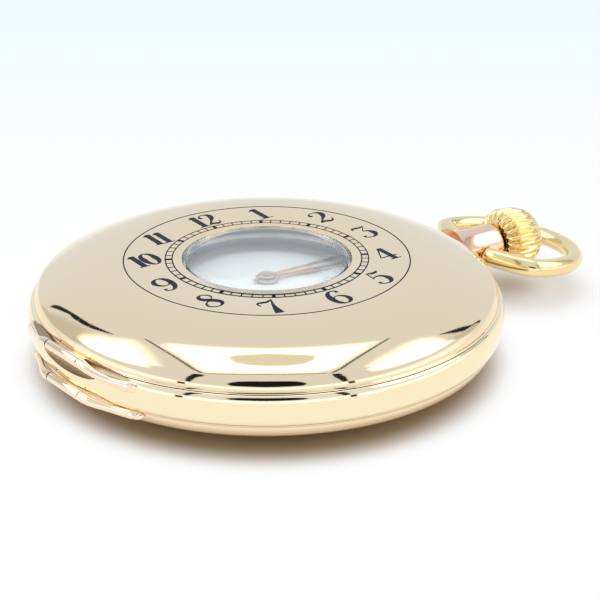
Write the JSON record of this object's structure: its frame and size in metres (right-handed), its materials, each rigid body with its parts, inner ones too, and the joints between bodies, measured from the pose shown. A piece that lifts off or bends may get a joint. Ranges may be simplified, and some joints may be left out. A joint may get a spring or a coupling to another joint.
{
  "type": "half hunter pocket watch",
  "caption": "Half hunter pocket watch with hinged gold front and back lids, a glazed port in the front lid, winding crown, swinging bow, white dial and a geared lever movement.",
  "frame": {"origin": "centre of the flat on the back lid, on which the watch lies", "axes": "+X towards the pendant, crown and three o'clock; +Y towards twelve; +Z out of the dial, away from the table"},
  "size_m": [0.0678, 0.05, 0.012],
  "materials": {
    "case_gold": "polished gold, pale",
    "rose_gold": "polished rose gold",
    "yellow_gold": "polished yellow gold",
    "crystal": "clear, polished",
    "enamel": "fired white enamel, glossy",
    "nickel": "striped nickel",
    "wheel_brass": "gilt, circular grained",
    "steel": "fine ground",
    "blued_steel": "heat blued, polished",
    "ruby": "polished ruby"
  },
  "bodies": {
    "case": {"case_band": "case_gold", "pendant": "rose_gold", "glass_bezel": "case_gold", "dial_glass": "crystal", "dust_cover": "case_gold", "front_hinge_pin": "yellow_gold", "back_hinge_pin": "yellow_gold", "lift_spring": "steel", "main_plate": "nickel", "dial": "enamel", "barrel_bridge": "nickel", "train_bridge": "nickel", "balance_cock": "nickel", "pallet_bridge": "nickel", "pallet_bridge_screws": "blued_steel", "crown_wheel_screw": "blued_steel", "click": "steel", "click_spring": "steel", "bridge_screws": "blued_steel", "case_screws": "blued_steel", "jewels": "ruby", "hairspring": "blued_steel"},
    "front_lid": {"front_lid": "case_gold", "window_glass": "crystal", "window_ring": "case_gold"},
    "back_lid": {"back_lid": "case_gold"},
    "bow": {"bow": "yellow_gold"},
    "winding": {"winding_pinion": "steel", "sliding_pinion": "steel"},
    "crown": {"crown": "yellow_gold", "stem": "steel"},
    "lid_catch": {"lid_catch": "steel"},
    "crown_wheel": {"crown_wheel": "steel"},
    "ratchet": {"ratchet_wheel": "steel", "barrel_arbor": "steel"},
    "seconds": {"fourth_wheel": "wheel_brass", "seconds_hand": "yellow_gold"},
    "centre": {"centre_wheel": "wheel_brass", "cannon_pinion": "steel", "minute_hand": "yellow_gold"},
    "third": {"third_wheel": "wheel_brass"},
    "escape": {"escape_wheel": "steel"},
    "barrel": {"barrel_drum": "wheel_brass", "barrel_cover": "wheel_brass", "mainspring": "steel"},
    "minute_wheel": {"minute_wheel": "wheel_brass"},
    "hour": {"hour_wheel": "wheel_brass", "hour_hand": "yellow_gold"},
    "pallets": {"pallet_fork": "steel"},
    "balance": {"balance_wheel": "wheel_brass", "balance_staff": "steel"},
    "regulator": {"regulator": "steel"}
  },
  "joints": [
    {"name": "front_lid_hinge", "type": "hinge", "parent": "case", "child": "front_lid", "pos_m": [-0.02493, -0.00187, 0.00712], "axis": [0.075, -0.9972, 0], "range_deg": [0, 95]},
    {"name": "back_lid_hinge", "type": "hinge", "parent": "case", "child": "back_lid", "pos_m": [-0.02493, -0.00187, 0.00356], "axis": [-0.075, 0.9972, 0], "range_deg": [0, 100]},
    {"name": "bow_swing", "type": "hinge", "parent": "case", "child": "bow", "pos_m": [0.0283, 0, 0.00543], "axis": [0, -1, 0], "range_deg": [-81.5, 98.5]},
    {"name": "winding_turn", "type": "hinge", "parent": "case", "child": "winding", "pos_m": [0.014, 0, 0.00543], "axis": [1, 0, 0], "continuous": true},
    {"name": "crown_press", "type": "slide", "parent": "winding", "child": "crown", "axis": [1, 0, 0], "range_m": [-0.0004, 0], "stiffness_N_per_m": 600},
    {"name": "lid_catch_slide", "type": "slide", "parent": "case", "child": "lid_catch", "axis": [1, 0, 0], "range_m": [-0.0004, 0]},
    {"name": "crown_wheel_turn", "type": "hinge", "parent": "case", "child": "crown_wheel", "pos_m": [0.01036, 0, 0.0035], "axis": [0, 0, 1], "continuous": true},
    {"name": "ratchet_turn", "type": "hinge", "parent": "case", "child": "ratchet", "pos_m": [0.0045, 0.00779, 0.0033], "axis": [0, 0, 1], "continuous": true},
    {"name": "seconds_turn", "type": "hinge", "parent": "case", "child": "seconds", "pos_m": [0, -0.01, 0.004], "axis": [0, 0, -1], "continuous": true},
    {"name": "centre_turn", "type": "hinge", "parent": "case", "child": "centre", "pos_m": [0, 0, 0.004], "axis": [0, 0, -1], "continuous": true},
    {"name": "third_turn", "type": "hinge", "parent": "case", "child": "third", "pos_m": [0.00334, -0.0056, 0.004], "axis": [0, 0, -1], "continuous": true},
    {"name": "escape_turn", "type": "hinge", "parent": "case", "child": "escape", "pos_m": [-0.00433, -0.00924, 0.004], "axis": [0, 0, -1], "continuous": true},
    {"name": "barrel_turn", "type": "hinge", "parent": "case", "child": "barrel", "pos_m": [0.0045, 0.00779, 0.0048], "axis": [0, 0, -1], "continuous": true},
    {"name": "minute_wheel_turn", "type": "hinge", "parent": "case", "child": "minute_wheel", "pos_m": [-0.00291, 0.00168, 0.0066], "axis": [0, 0, -1], "continuous": true},
    {"name": "hour_turn", "type": "hinge", "parent": "case", "child": "hour", "pos_m": [0, 0, 0.0068], "axis": [0, 0, -1], "continuous": true},
    {"name": "pallet_swing", "type": "hinge", "parent": "case", "child": "pallets", "pos_m": [-0.00697, -0.00678, 0.0051], "axis": [0, 0, -1], "range_deg": [-5, 5]},
    {"name": "balance_swing", "type": "hinge", "parent": "case", "child": "balance", "pos_m": [-0.0106, -0.0034, 0.0042], "axis": [0, 0, -1], "range_deg": [-220, 220], "stiffness_Nm_per_rad": 0.0000019},
    {"name": "regulator_turn", "type": "hinge", "parent": "case", "child": "regulator", "pos_m": [-0.0106, -0.0034, 0.002], "axis": [0, 0, -1], "range_deg": [-15, 15]}
  ],
  "couplings": [
    {"joint": "lid_catch_slide", "follows": "crown_press", "ratio": 1},
    {"joint": "crown_wheel_turn", "follows": "winding_turn", "ratio": 0.43478},
    {"joint": "ratchet_turn", "follows": "winding_turn", "ratio": -0.2381},
    {"joint": "centre_turn", "follows": "seconds_turn", "ratio": 0.016667},
    {"joint": "third_turn", "follows": "seconds_turn", "ratio": -0.13333},
    {"joint": "escape_turn", "follows": "seconds_turn", "ratio": -10},
    {"joint": "barrel_turn", "follows": "seconds_turn", "ratio": -0.0020833},
    {"joint": "minute_wheel_turn", "follows": "seconds_turn", "ratio": -0.0055556},
    {"joint": "hour_turn", "follows": "seconds_turn", "ratio": 0.0013889}
  ]
}
